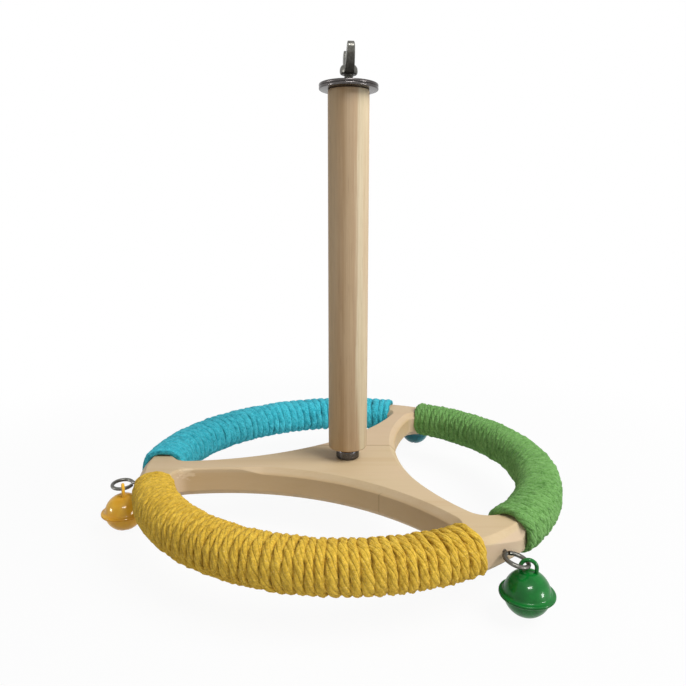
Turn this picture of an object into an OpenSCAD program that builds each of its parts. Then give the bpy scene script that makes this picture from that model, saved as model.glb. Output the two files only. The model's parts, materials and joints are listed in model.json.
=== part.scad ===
// Rotating bird perch wheel: a wooden wheel wound with rope, turning on a post that hangs from a cage roof.
// Millimetres, +Z up. The origin is on the bolt's axis, on top of the lower washer, where a cage bar sits.

/* [Post] */
// Diameter of the wooden post
post_d = 22.5; // [18:0.5:28]
// Length of the wooden post
post_len = 200; // [140:1:280]
// Chamfer at both ends of the post
post_ease = 0.8; // [0.4:0.1:2]

/* [Cage clamp] */
// Diameter of the hanger bolt
bolt_d = 5; // [4:0.5:6]
// Length of the bolt's wood-screw end inside the post
bolt_embed = 32; // [20:1:50]
// Length of bolt that stands above the wing nut's boss
bolt_spare = 4; // [2:0.5:10]
// Diameter of the two clamp washers
washer_d = 32; // [26:1:40]
// Thickness of each clamp washer
washer_t = 1.5; // [1:0.1:3]
// Room between the bolt and the hole of a washer, all round
washer_room = 0.25; // [0.1:0.05:0.5]
// Gap between the upper washer and the wing nut as it is parked
nut_park = 4.7; // [1:0.1:12]
// Diameter of the wing nut's boss at its foot
boss_d = 10; // [9:0.5:14]
// Diameter of the wing nut's boss at its top
boss_top_d = 8.4; // [7.5:0.1:9]
// Height of the wing nut's boss
boss_h = 5; // [4:0.5:8]
// Height of the wing nut over its wings
nut_h = 14.5; // [11:0.5:20]
// Width of the wing nut over its wings
nut_span = 26; // [22:1:36]
// Thickness of the wings
wing_t = 2.6; // [1.5:0.1:3.5]
// Radius of the rounded wing tips
wing_tip_r = 3.2; // [2:0.1:4]
// Height of the wings' lower edge above the foot of the boss
wing_lift = 0.3; // [0.1:0.1:1]
// Turn of the wings away from straight fore and aft
wing_turn = 6; // [-45:1:45]
// Running clearance of the nut on the bolt and of the wheel on its sleeve, all round
run_clear = 0.05; // [0.02:0.01:0.1]

/* [Pivot] */
// Diameter of the metal collar on the hub
collar_d = 13.6; // [12:0.2:20]
// Height of the collar's body
collar_h = 5; // [2:0.5:8]
// Diameter of the collar's neck under the post
collar_neck_d = 9.4; // [8:0.2:11]
// Height of the collar's neck
collar_neck_h = 1.6; // [0.8:0.1:3]
// Diameter of the pivot screw's plain shank
shank_d = 6; // [5:0.5:6.5]
// Diameter of the pivot screw's wood thread
thread_d = 4.6; // [3.5:0.1:4.8]
// Length of the wood thread inside the post
thread_len = 28; // [15:1:50]
// Diameter of the pivot screw's head
head_d = 12; // [10:0.5:16]
// Height of the pivot screw's head
head_h = 3.6; // [2.8:0.2:5]
// Width across corners of the hexagon socket in the head
socket_d = 4.6; // [3:0.2:6]
// Depth of the hexagon socket
socket_depth = 2; // [1:0.2:2.4]
// Outside diameter of the sleeve that the wheel turns on
sleeve_d = 9; // [8:0.5:11]
// Up and down play of the wheel on its sleeve
pivot_play = 0.3; // [0.2:0.1:1]
// Diameter of the washer under the hub
thrust_d = 20; // [16:1:28]
// Thickness of the washer under the hub
thrust_t = 1.5; // [1:0.1:3]
// Clearance between pieces that are pushed or screwed into each other, all round
fit_clear = 0.05; // [0.02:0.01:0.1]

/* [Wheel] */
// Radius of the rim's middle line
ring_r = 110; // [95:1:140]
// Width of the rim's wood across the ring
rim_w = 17; // [14:0.5:20]
// Thickness of the board
board_t = 17; // [12:0.5:20]
// Chamfer along every edge of the wheel
edge_ease = 3.5; // [2:0.1:4.5]
// Least distance from the axis to the gap between two spokes
hub_r = 31; // [26:1:36]
// Width of a spoke at its narrowest
spoke_w = 15.6; // [12:0.2:18]
// Direction of the first spoke
spoke_turn = 66.5; // [0:0.5:120]

/* [Rope] */
// Thickness of the rope as it is pressed on the rim
rope_t = 3.7; // [3:0.1:6]
// Loops of rope in each winding
rope_loops = 24; // [12:1:24]
// Bare wood at the end of each spoke, along the rim's middle line
land_w = 27; // [26:1:36]
// Gap between neighbouring loops, along the rim's middle line
rope_gap = 0.7; // [0.6:0.1:2]
// Clearance between the rope and the wood
rope_clear = 0.3; // [0.2:0.1:0.5]

/* [Screw eyes] */
// Diameter of the eye over its wire
eye_d = 13; // [12:0.5:16]
// Diameter of the eye's wire
eye_wire = 2; // [1.6:0.1:2.4]
// Length of the screw inside the wood
eye_embed = 10; // [6:0.5:13]
// Neck between the wood and the ring of the blue eye
neck_blue = 4.5; // [0.6:0.1:7]
// Neck of the yellow eye
neck_yellow = 4.5; // [0.6:0.1:7]
// Neck of the green eye
neck_green = 0.7; // [0.6:0.1:7]
// Downward slope of the blue eye
droop_blue = 10; // [0:1:28]
// Downward slope of the yellow eye
droop_yellow = 0; // [0:1:28]
// Downward slope of the green eye
droop_green = 10; // [0:1:28]
// Turn of the yellow eye about its screw, away from level
twist_yellow = 5; // [0:1:20]
// Turn of the green eye about its screw
twist_green = 12; // [0:1:20]
// Height of the yellow eye's screw above the middle of the board
lift_yellow = -2.2; // [-2.5:0.1:1.5]
// Height of the green eye's screw above the middle of the board
lift_green = 0.6; // [-2.5:0.1:1.5]

/* [Bells] */
// Diameter of a bell's round body
bell_d = 21; // [19:0.5:22]
// Diameter over the pressed flange
flange_d = 25; // [24:0.5:26]
// Wall of the pressed shells
bell_wall = 0.7; // [0.4:0.1:1]
// Thickness of each shell's lip in the flange
lip_t = 0.8; // [0.5:0.1:1.2]
// Diameter of the loop's wire
loop_wire = 1.8; // [1.4:0.1:2]
// Distance between the loop's legs
loop_w = 7; // [5.6:0.2:8]
// Height of the loop's middle line above the dome
loop_rise = 5.3; // [4:0.1:6]
// Room between the loop and the eye that it hangs on
loop_play = 0.3; // [0.2:0.1:0.6]
// Length of the clinched feet of the loop inside the bell
foot_len = 1.2; // [0.6:0.1:1.6]
// Depth of the loop's feet below the inside of the dome
foot_drop = 2.4; // [2.2:0.1:4]
// Diameter of the loose pellet
pellet_d = 6; // [4:0.5:7]
// Room under the pellet
pellet_room = 0.2; // [0.1:0.1:0.4]
// Width of the sound slots in a bell's cup
slot_w = 2; // [1.2:0.1:2.4]
// Length of the sound slots
slot_len = 9; // [7:0.5:13]
// Diameter of the round ends of the slots
slot_end_d = 3.2; // [2.4:0.1:4]
// Direction in which the yellow bell hangs on its eye, from straight out
hang_yellow = 105; // [0:5:120]
// Direction in which the green bell hangs on its eye
hang_green = 40; // [-45:5:45]
// Direction in which the blue bell hangs on its eye
hang_blue = 0; // [-45:5:45]

/* [Hidden] */
$fn = 64;
hull_fn = 32;
// Overshoot of cutting solids
cut = 1;

// Heights along the post's axis
post_top = -washer_t;
post_foot = post_top - post_len;
collar_foot = post_foot - collar_neck_h - collar_h;
hub_top = collar_foot - pivot_play;
hub_mid = hub_top - board_t / 2;
hub_foot = hub_top - board_t;
thrust_foot = hub_foot - thrust_t;
nut_foot = washer_t + nut_park;
bolt_top = nut_foot + boss_h + bolt_spare;

// Wheel outline: each gap is where a large circle overlaps the inside of the rim
spokes = 3;
spoke_step = 360 / spokes;
rim_in = ring_r - rim_w / 2;
rim_out = ring_r + rim_w / 2;
gap_c = (hub_r - spoke_w / 2) / (1 - sin(spoke_step / 2));
gap_r = gap_c - hub_r;

// Rope: the corners of the rim's eight-sided section, in order, as [side across, side up, steeper up]
rim_half = rim_w / 2;
board_half = board_t / 2;
flat_w = rim_half - edge_ease;
flat_h = board_half - edge_ease;
miter = tan(22.5);
section = [
    [flat_w, -board_half], [-flat_w, -board_half],
    [-rim_half, -flat_h], [-rim_half, flat_h],
    [-flat_w, board_half], [flat_w, board_half],
    [rim_half, flat_h], [rim_half, -flat_h]
];
section_out = [
    [miter, -1], [-miter, -1], [-1, -miter], [-1, miter],
    [-miter, 1], [miter, 1], [1, miter], [1, -miter]
];
corners = len(section);
rope_sides = 6;
rope_steps = corners * rope_loops + 1;
wound_len = ring_r * spoke_step * PI / 180 - land_w;
rope_pitch = (wound_len + rope_gap) / (rope_loops + 1 / corners + 1);
rope_w = rope_pitch - rope_gap;

// Screw eyes and bells, in the order of the spokes: blue, yellow, green
necks = [neck_blue, neck_yellow, neck_green];
droops = [droop_blue, droop_yellow, droop_green];
twists = [0, twist_yellow, twist_green];
lifts = [0, lift_yellow, lift_green];
hangs = [hang_blue, hang_yellow, hang_green];
eye_ring_r = (eye_d - eye_wire) / 2;
loop_top = bell_d / 2 + loop_rise;
bell_drop = loop_top - eye_wire / 2 - loop_wire / 2 - loop_play;
loop_bend = loop_top - loop_w / 2;
bell_in_r = bell_d / 2 - bell_wall;
foot_z = bell_in_r - foot_drop;
pellet_z = -(bell_in_r - pellet_d / 2 - pellet_room);

wood = "burlywood";
steel = "silver";

// Direction of spoke k
function spoke_at(k) = spoke_turn + spoke_step * k;

// Distance from the wood to the middle of the ring of eye k
function eye_reach(k) = necks[k] + eye_d / 2;

// Where bell k hangs on its eye, from the foot of the eye's screw
function eye_hook(k) =
    let (
        out = eye_reach(k) + eye_ring_r * cos(hangs[k]),
        side = eye_ring_r * sin(hangs[k]),
        sunk = side * sin(twists[k])
    )
    [
        out * cos(droops[k]) - sunk * sin(droops[k]),
        side * cos(twists[k]),
        -out * sin(droops[k]) - sunk * cos(droops[k])
    ];

// One corner of the rim's section, moved out from the wood by off
function rope_corner(n, off) = section[n % corners] + off * section_out[n % corners];

// One end of the rope, cut square on the underside of the rim
function rope_end(n, off) = section[n % corners] + [0, -off];

// Place around the wheel of point j of ring n, where the winding starts at turn from
function rope_turn(n, j, from) =
    from + (rope_w / 2 * (1 + sin(360 / rope_sides * (j + 0.5))) + rope_pitch * n / corners)
    / ring_r * 180 / PI;

// Height of point j of a ring above the wood
function rope_off(j) =
    rope_clear + rope_t / 2 * (1 + cos(360 / rope_sides * (j + 0.5)) / cos(180 / rope_sides));

function on_wheel(at, turn) = [(ring_r + at.x) * cos(turn), (ring_r + at.x) * sin(turn), at.y];

function rope_point(n, j, from) =
    on_wheel(
        n == 0 || n == rope_steps ? rope_end(n, rope_off(j)) : rope_corner(n, rope_off(j)),
        rope_turn(n, j, from)
    );

// Triangles of a tube from ring n to the next one
function tube_faces(n) = [
    for (j = [0:rope_sides - 1])
        let (a = n * rope_sides + j, b = n * rope_sides + (j + 1) % rope_sides)
            each [[a, b, a + rope_sides], [b, b + rope_sides, a + rope_sides]]
];

// Triangles of the flat end of a tube at ring n
function end_faces(n, outward) = [
    for (j = [1:rope_sides - 2])
        let (a = n * rope_sides)
            outward ? [a, a + j, a + j + 1] : [a, a + j + 1, a + j]
];

// Least distance between the points of one loop and those of the next
rope_least_gap = min([
    for (n = [1:corners], m = [n + corners - 1:n + corners + 1],
         i = [0:rope_sides - 1], j = [0:rope_sides - 1])
        norm(rope_point(n, i, 0) - rope_point(m, j, 0))
]);
echo(rope_least_gap = rope_least_gap);

// Flat ring with its hole
module washer(d, hole_d, t) {
    difference() {
        cylinder(d = d, h = t);
        translate([0, 0, -cut]) cylinder(d = hole_d, h = t + 2 * cut);
    }
}

module post() {
    bolt_hole = bolt_d + 2 * fit_clear;
    screw_hole = thread_d + 2 * fit_clear;
    color(wood) translate([0, 0, post_foot]) difference() {
        rotate_extrude() polygon([
            [0, 0], [post_d / 2 - post_ease, 0], [post_d / 2, post_ease],
            [post_d / 2, post_len - post_ease], [post_d / 2 - post_ease, post_len], [0, post_len]
        ]);
        translate([0, 0, post_len - bolt_embed - fit_clear])
            cylinder(d = bolt_hole, h = bolt_embed + fit_clear + cut);
        translate([0, 0, -cut]) cylinder(d = screw_hole, h = thread_len + fit_clear + cut);
    }
}

module hanger_bolt() {
    tip = bolt_d / 2;
    color(steel) translate([0, 0, post_top - bolt_embed]) rotate_extrude() polygon([
        [0, 0], [bolt_d / 4, 0], [bolt_d / 2, tip],
        [bolt_d / 2, bolt_embed - post_top + bolt_top - bolt_d / 10],
        [bolt_d * 0.4, bolt_embed - post_top + bolt_top], [0, bolt_embed - post_top + bolt_top]
    ]);
}

module lower_washer() {
    color(steel) translate([0, 0, -washer_t]) washer(washer_d, bolt_d + 2 * washer_room, washer_t);
}

module upper_washer() {
    color(steel) washer(washer_d, bolt_d + 2 * washer_room, washer_t);
}

// Side view of one wing, from inside the boss to the rounded tip
module wing_outline() {
    hull() {
        translate([nut_span / 2 - wing_tip_r, nut_h - wing_tip_r]) circle(wing_tip_r, $fn = hull_fn);
        translate([bolt_d / 2 + wing_t / 2, boss_h / 2]) circle(boss_h / 2 - wing_lift, $fn = hull_fn);
    }
}

module wing_nut() {
    color(steel) translate([0, 0, nut_foot]) rotate(wing_turn - 90) difference() {
        union() {
            cylinder(d1 = boss_d, d2 = boss_top_d, h = boss_h);
            for (side = [0, 180])
                rotate(side) rotate([90, 0, 0]) translate([0, 0, -wing_t / 2])
                    linear_extrude(wing_t) wing_outline();
        }
        translate([0, 0, -cut]) cylinder(d = bolt_d + 2 * run_clear, h = nut_h + 2 * cut);
    }
}

module pivot_collar() {
    color(steel) translate([0, 0, collar_foot]) difference() {
        union() {
            cylinder(d = collar_d, h = collar_h);
            cylinder(d = collar_neck_d, h = collar_h + collar_neck_h);
        }
        translate([0, 0, -cut])
            cylinder(d = shank_d + 2 * fit_clear, h = collar_h + collar_neck_h + 2 * cut);
    }
}

module pivot_sleeve() {
    color(steel) translate([0, 0, hub_foot])
        washer(sleeve_d, shank_d + 2 * fit_clear, collar_foot - hub_foot);
}

module thrust_washer() {
    color(steel) translate([0, 0, thrust_foot]) washer(thrust_d, shank_d + 2 * fit_clear, thrust_t);
}

module pivot_screw() {
    dome_r = (head_d * head_d / 4 + head_h * head_h) / (2 * head_h);
    color(steel) difference() {
        union() {
            translate([0, 0, thrust_foot]) cylinder(d = shank_d, h = post_foot - thrust_foot);
            translate([0, 0, post_foot - cut]) cylinder(d = thread_d, h = thread_len + cut);
            intersection() {
                translate([0, 0, thrust_foot - head_h + dome_r]) sphere(dome_r);
                translate([0, 0, thrust_foot - head_h]) cylinder(d = head_d + 2 * cut, h = head_h);
            }
        }
        translate([0, 0, thrust_foot - head_h - cut])
            cylinder(d = socket_d, h = socket_depth + cut, $fn = 6);
    }
}

// Round cutter of radius r that flares at both faces of the board, to leave a chamfer
module eased_cutter(r) {
    flare = edge_ease + cut;
    rotate_extrude() polygon([
        [0, -board_half - cut], [r + flare, -board_half - cut], [r, -flat_h],
        [r, flat_h], [r + flare, board_half + cut], [0, board_half + cut]
    ]);
}

module eased_disc(r) {
    rotate_extrude() polygon([
        [0, -board_half], [r - edge_ease, -board_half], [r, -flat_h],
        [r, flat_h], [r - edge_ease, board_half], [0, board_half]
    ]);
}

// Places its children at the rim's outer face at spoke k, with +X out along the screw eye
module at_eye(k) {
    translate([0, 0, hub_mid + lifts[k]]) rotate(spoke_at(k)) translate([rim_out, 0, 0])
        rotate([0, droops[k], 0]) rotate([-twists[k], 0, 0]) children();
}

module wheel_frame() {
    color(wood) difference() {
        translate([0, 0, hub_mid]) difference() {
            eased_disc(rim_out);
            for (k = [0:spokes - 1])
                rotate(spoke_at(k + 0.5)) intersection() {
                    eased_cutter(rim_in);
                    translate([gap_c, 0, 0]) eased_cutter(gap_r);
                }
            translate([0, 0, -board_half - cut])
                cylinder(d = sleeve_d + 2 * run_clear, h = board_t + 2 * cut);
        }
        for (k = [0:spokes - 1])
            at_eye(k) translate([-eye_embed - fit_clear, 0, 0]) rotate([0, 90, 0])
                cylinder(d = eye_wire + 2 * fit_clear, h = eye_embed + fit_clear + eye_wire);
    }
}

// One rope, wound from spoke k to the next one
module rope_winding(k) {
    from = spoke_at(k) + land_w / 2 / ring_r * 180 / PI;
    points = [for (n = [0:rope_steps], j = [0:rope_sides - 1]) rope_point(n, j, from)];
    faces = [
        for (n = [0:rope_steps - 1]) each tube_faces(n),
        each end_faces(0, false),
        each end_faces(rope_steps, true)
    ];
    translate([0, 0, hub_mid]) polyhedron(points = points, faces = faces);
}

module screw_eye(k) {
    color(steel) at_eye(k) {
        translate([-eye_embed, 0, 0]) rotate([0, 90, 0])
            cylinder(d = eye_wire, h = eye_embed + eye_reach(k) - eye_ring_r);
        translate([eye_reach(k), 0, 0]) rotate_extrude() translate([eye_ring_r, 0]) circle(d = eye_wire);
    }
}

// Places its children at the middle of the bell on the eye of spoke k, with +X the way that it hangs
module at_bell(k) {
    translate([0, 0, hub_mid + lifts[k] - bell_drop]) rotate(spoke_at(k))
        translate([rim_out, 0, 0] + eye_hook(k)) rotate(hangs[k]) children();
}

// Half of a bell's shell above the seam, with its lip
module half_shell() {
    difference() {
        union() {
            intersection() {
                sphere(d = bell_d);
                cylinder(d = flange_d, h = bell_d);
            }
            cylinder(d = flange_d, h = lip_t);
        }
        sphere(bell_in_r);
    }
}

module bell_cap(k, paint) {
    color(paint) at_bell(k) difference() {
        half_shell();
        for (side = [-1, 1])
            translate([side * loop_w / 2, 0, 0])
                cylinder(d = loop_wire + 2 * fit_clear, h = bell_d);
    }
}

module bell_cup(k, paint) {
    color(paint) at_bell(k) difference() {
        mirror([0, 0, 1]) half_shell();
        for (side = [0, 90]) rotate(side) translate([0, 0, -bell_d]) {
            translate([-slot_len / 2, -slot_w / 2, 0]) cube([slot_len, slot_w, bell_d - lip_t - cut]);
            for (end = [-1, 1])
                translate([end * slot_len / 2, 0, 0]) cylinder(d = slot_end_d, h = bell_d - lip_t - cut);
        }
    }
}

module bell_loop(k, paint) {
    color(paint) at_bell(k) {
        translate([0, 0, loop_bend]) rotate([90, 0, 0])
            rotate_extrude(angle = 180) translate([loop_w / 2, 0]) circle(d = loop_wire);
        for (side = [-1, 1]) translate([side * loop_w / 2, 0, foot_z]) {
            cylinder(d = loop_wire, h = loop_bend - foot_z);
            sphere(d = loop_wire);
            rotate([0, side * 90, 0]) cylinder(d = loop_wire, h = foot_len);
        }
    }
}

module bell_pellet(k) {
    color(steel) at_bell(k) translate([0, 0, pellet_z]) sphere(d = pellet_d);
}

post();
hanger_bolt();
lower_washer();
upper_washer();
wing_nut();
pivot_collar();
pivot_sleeve();
pivot_screw();
thrust_washer();
wheel_frame();
color("deepskyblue") rope_winding(0);  // rope_blue
color("goldenrod") rope_winding(1);  // rope_yellow
color("olivedrab") rope_winding(2);  // rope_green
screw_eye(0);  // eye_blue
screw_eye(1);  // eye_yellow
screw_eye(2);  // eye_green
bell_cap(0, "teal");  // bell_cap_blue
bell_cup(0, "teal");  // bell_cup_blue
bell_loop(0, "teal");  // bell_loop_blue
bell_pellet(0);  // bell_pellet_blue
bell_cap(1, "orange");  // bell_cap_yellow
bell_cup(1, "orange");  // bell_cup_yellow
bell_loop(1, "orange");  // bell_loop_yellow
bell_pellet(1);  // bell_pellet_yellow
bell_cap(2, "seagreen");  // bell_cap_green
bell_cup(2, "seagreen");  // bell_cup_green
bell_loop(2, "seagreen");  // bell_loop_green
bell_pellet(2);  // bell_pellet_green
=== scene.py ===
"""Looks of the rotating bird perch wheel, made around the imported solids. Metres, +Z up."""
import json
import math
import random

import bmesh
import bpy
from mathutils import Matrix, Vector, noise


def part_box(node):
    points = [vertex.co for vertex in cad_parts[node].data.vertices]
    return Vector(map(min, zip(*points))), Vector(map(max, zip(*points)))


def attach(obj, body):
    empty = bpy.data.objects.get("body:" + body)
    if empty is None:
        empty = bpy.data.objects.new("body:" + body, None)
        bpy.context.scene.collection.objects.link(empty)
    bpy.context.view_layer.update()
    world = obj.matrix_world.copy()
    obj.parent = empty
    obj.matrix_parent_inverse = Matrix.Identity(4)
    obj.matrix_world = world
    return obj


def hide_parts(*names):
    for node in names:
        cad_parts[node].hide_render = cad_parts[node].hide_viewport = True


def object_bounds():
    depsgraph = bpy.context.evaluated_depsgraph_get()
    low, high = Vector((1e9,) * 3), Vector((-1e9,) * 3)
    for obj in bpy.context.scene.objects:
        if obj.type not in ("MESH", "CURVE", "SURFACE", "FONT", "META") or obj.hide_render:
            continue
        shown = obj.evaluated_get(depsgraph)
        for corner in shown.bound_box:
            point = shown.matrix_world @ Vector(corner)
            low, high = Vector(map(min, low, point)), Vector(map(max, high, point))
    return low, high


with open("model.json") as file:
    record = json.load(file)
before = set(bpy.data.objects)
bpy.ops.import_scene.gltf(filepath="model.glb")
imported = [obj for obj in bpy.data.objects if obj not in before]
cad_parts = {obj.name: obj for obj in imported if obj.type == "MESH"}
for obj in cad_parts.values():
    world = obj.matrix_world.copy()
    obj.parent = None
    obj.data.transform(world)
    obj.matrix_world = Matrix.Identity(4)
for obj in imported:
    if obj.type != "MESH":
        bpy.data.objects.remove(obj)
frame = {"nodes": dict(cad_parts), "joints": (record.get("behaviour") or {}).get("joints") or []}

cad_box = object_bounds()
MM = 0.001
UP = Vector((0, 0, 1))
SIDEWAYS = Vector((0, 1, 0))
ORIGIN = Vector((0, 0, 0))
FULL_TURN = 2 * math.pi
QUARTER_TURN = math.pi / 2
WELD_GAP = 0.002 * MM
HAIR = 0.01 * MM
PLACE_DIGITS = 7
WHITE = (1.0, 1.0, 1.0, 1.0)
COLOURS = ("blue", "yellow", "green")

# Sizes and places taken from the solids
joints = {j["name"]: j for j in frame["joints"]}
wheel_low, wheel_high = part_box("wheel_frame")
post_low, post_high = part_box("post")
collar_low, collar_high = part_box("pivot_collar")
nut_low, nut_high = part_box("wing_nut")
bolt_low, bolt_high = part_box("hanger_bolt")
HUB_MID = (wheel_low.z + wheel_high.z) / 2
BOARD_T = wheel_high.z - wheel_low.z
RIM_OUT = wheel_high.x
POST_R = post_high.x
SPOKE_STEP = FULL_TURN / len(COLOURS)
SPOKE_TURN = math.atan2(joints["bell_blue_swing"]["pos_m"][1], joints["bell_blue_swing"]["pos_m"][0])

# Wheel
RIM_W = 17 * MM
RIM_IN = RIM_OUT - RIM_W
RING_R = RIM_OUT - RIM_W / 2
HUB_R = 31 * MM
SPOKE_W = 15.6 * MM
CORNER_R = 8 * MM
BORE_R = 4.55 * MM
EDGE_EASE = 3.5 * MM
EDGE_SOFT = 0.45 * MM

# Relief of the wood's grain
GRAIN_DEPTH = 0.12 * MM
GRAIN_STRENGTH = 0.25

# Rope, with the bare wood from a spoke's middle to the first turn and from the last turn to the next spoke
ROPE_R = 3.1 * MM
ROPE_CROWN = 2.5 * MM
ROPE_SEAT = 1.4 * MM
ROPE_UNEVEN = 0.08
ROPE_SWELL = 0.05 * MM
ROPE_SEED = 40
ROPE_WAVES = 8
SWAY_PER_TURN = (0.05, 0.45)
LIFT_PER_TURN = (0.1, 0.9)
ROPE_OVERLAP = {"blue": 1.27, "yellow": 1.2, "green": 1.35}
ROPE_TURNS = {"blue": 40, "yellow": 46, "green": 43}
ROPE_BARE = {"blue": (8.5 * MM, 9.5 * MM), "yellow": (13 * MM, 10 * MM), "green": (11.5 * MM, 6.5 * MM)}
ROPE_TIGHT = {"blue": 0.0, "yellow": 0.12, "green": 0.0}
TIGHT_TURNS = 14
TUCK_TURNS = 0.15
TUCK_DEPTH = 1.6 * ROPE_R
ROPE_STRANDS = 6
ROPE_LAY = 28 * MM
STRAND_GROOVE = {"blue": 0.05, "yellow": 0.14, "green": 0.12}
STRAND_MEAN = 0.8
WOUND_WIDE = 12.5 * MM
WOUND_UP = 13.1 * MM
WOUND_DOWN = 9.9 * MM
TOP_POWER = 2.5
BOTTOM_POWER = 2.05
RINGS_PER_TURN = 76
ROPE_SIDES = 28
CROWN_SHARE = 0.45

# Felting of the rope: how far it sways, swells, is pressed and is lumpy, each with its pattern's size
SWAY = 0.8 * MM
SWAY_SIZE = 5 * MM
SWELL = 0.4 * MM
SWELL_SIZE = 9 * MM
PRESS = 0.3
PRESS_SIZE = 6 * MM
LUMP = 0.35 * MM
LUMP_SIZE = 2.6 * MM
NUB = 0.25 * MM
NUB_SIZE = 1.3 * MM

# Screw eyes and bells
EYE_REACH = {"blue": 11 * MM, "yellow": 11 * MM, "green": 7.2 * MM}
EYE_DROOP = {"blue": math.radians(10), "yellow": 0.0, "green": math.radians(10)}
EYE_TWIST = {"blue": 0.0, "yellow": math.radians(5), "green": math.radians(12)}
EYE_LIFT = {"blue": 0.0, "yellow": -2.2 * MM, "green": 0.6 * MM}
EYE_R = 5.5 * MM
EYE_WIRE_R = 1.0 * MM
EYE_EMBED = 9 * MM
BELL_R = 10.5 * MM
BELL_WALL = 0.7 * MM
FLANGE_R = 12.5 * MM
LIP_T = 0.8 * MM
NECK_R = 1.2 * MM
SLOT_LEN = 9 * MM
SLOT_W = 2 * MM
SLOT_END_R = 1.6 * MM
SLOT_BELOW_SEAM = 2.2 * MM

# Hardware
WASHER_R = 16 * MM
WASHER_T = 1.5 * MM
WASHER_HOLE_R = 2.75 * MM
WASHER_SOFT = 0.45 * MM
THREAD_R = 2.46 * MM
THREAD_DEPTH = 0.45 * MM
THREAD_PITCH = 0.8 * MM
NUT_BOSS_H = 5 * MM
NUT_HOLE_R = 2.55 * MM

# Steps of a full turn, by the size of the piece, and of a softened edge
POST_STEPS = 128
WIDE_STEPS = 96
COLLAR_STEPS = 64
NARROW_STEPS = 48
THREAD_STEPS = 32
SLOT_STEPS = 24
EDGE_STEPS = 4
ROUND_STEPS = 5

# Stage: the world's own light, and a floor that is nearly all white and fades to white away from the object
FILL = 0.2
FLOOR_GAP = 1 * MM
FLOOR_SIZE = 6
FLOOR_WHITE = 0.94
FLOOR_FADE = (0.2, 0.45)
LAMP_AIM = (0, 0, -0.14)

# Camera, as the photograph's frame of 686 by 686 pixels shows it
FRAME_PX = 686
FOCAL_PX = 624.8
CENTRE_X_PX = 359.9
CENTRE_Y_PX = 338.6
SENSOR_MM = 36
CAMERA_NEAR = 10 * MM
CAMERA_DISTANCE = 3.4677 * RING_R
CAMERA_AIM_Z = wheel_high.z - 7 * MM
CAMERA_RISE = math.radians(22.10)
CAMERA_YAW = math.radians(1.108)
CAMERA_PITCH = math.radians(10.40)
CAMERA_ROLL = math.radians(-0.35)


class Sock:
    """One output of a material's nodes. Arithmetic on it adds Math nodes."""

    def __init__(self, tree, socket):
        self.tree = tree
        self.socket = socket

    def make(self, kind, settings, inputs, output=0):
        """Adds a node of this kind: first its settings, then the values or links of its sockets."""
        node = self.tree.nodes.new("ShaderNode" + kind)
        for key, value in settings.items():
            if key == "stops":
                self.set_stops(node.color_ramp, value)
            else:
                setattr(node, key, value)
        for key, value in inputs.items():
            if isinstance(value, Sock):
                self.tree.links.new(value.socket, node.inputs[key])
            else:
                node.inputs[key].default_value = value
        return Sock(self.tree, node.outputs[output])

    @staticmethod
    def set_stops(ramp, stops):
        while len(ramp.elements) < len(stops):
            ramp.elements.new(1.0)
        ramp.interpolation = "B_SPLINE"
        for element, (place, colour) in zip(ramp.elements, stops):
            element.position = place
            element.color = colour

    def math(self, operation, a, b=0.0):
        return self.make("Math", {"operation": operation}, {0: a, 1: b})

    def __add__(self, other):
        return self.math("ADD", self, other)

    __radd__ = __add__

    def __sub__(self, other):
        return self.math("SUBTRACT", self, other)

    def __rsub__(self, other):
        return self.math("SUBTRACT", other, self)

    def __mul__(self, other):
        return self.math("MULTIPLY", self, other)

    def __truediv__(self, other):
        return self.math("DIVIDE", self, other)

    def __abs__(self):
        return self.math("ABSOLUTE", self)

    def sin(self):
        return self.math("SINE", self)

    def above(self, low, high):
        """0 below low, 1 above high, smooth between them."""
        settings = {"interpolation_type": "SMOOTHSTEP"}
        return self.make("MapRange", settings, {"Value": self, "From Min": low, "From Max": high})

    def part(self, axis):
        """One coordinate of a vector."""
        return self.make("SeparateXYZ", {}, {0: self}, "XYZ".index(axis))

    def stretched(self, x, y, z):
        """A vector with its three coordinates multiplied."""
        return self.make("VectorMath", {"operation": "MULTIPLY"}, {0: self, 1: (x, y, z)})

    def radius(self):
        """The distance of a place from the Z axis."""
        return self.make("VectorMath", {"operation": "LENGTH"}, {0: self.stretched(1, 1, 0)}, 1)

    def noise(self, scale, detail=3.0, rough=0.5):
        sockets = {"Vector": self, "Scale": scale, "Detail": detail, "Roughness": rough}
        return self.make("TexNoise", {}, sockets)

    def mixed(self, low, high):
        """A colour between low and high, with self as the share of high."""
        sockets = {0: self, 6: low, 7: high}
        return self.make("Mix", {"data_type": "RGBA"}, sockets, 2)

    def shading(self, colour, shadow, amount):
        """A colour multiplied by a tone between shadow and white, with self as the share of white."""
        settings = {"data_type": "RGBA", "blend_type": "MULTIPLY"}
        return self.make("Mix", settings, {0: amount, 6: colour, 7: self.mixed(shadow, WHITE)}, 2)

    def ramp(self, *stops):
        return self.make("ValToRGB", {"stops": stops}, {0: self})

    def bump(self, distance, strength):
        return self.make("Bump", {}, {"Height": self, "Distance": distance, "Strength": strength})


def rgb(r, g, b):
    """A colour given as the eye sees it, from 0 to 255, as the linear values that a shader takes."""
    def linear(v):
        v = v / 255
        return v / 12.92 if v < 0.04045 else ((v + 0.055) / 1.055) ** 2.4
    return (linear(r), linear(g), linear(b), 1.0)


def toned(colour, gain, lift=0.0):
    """A colour with its values multiplied and raised."""
    return tuple(gain * c + lift for c in colour[:3]) + (1.0,)


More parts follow.
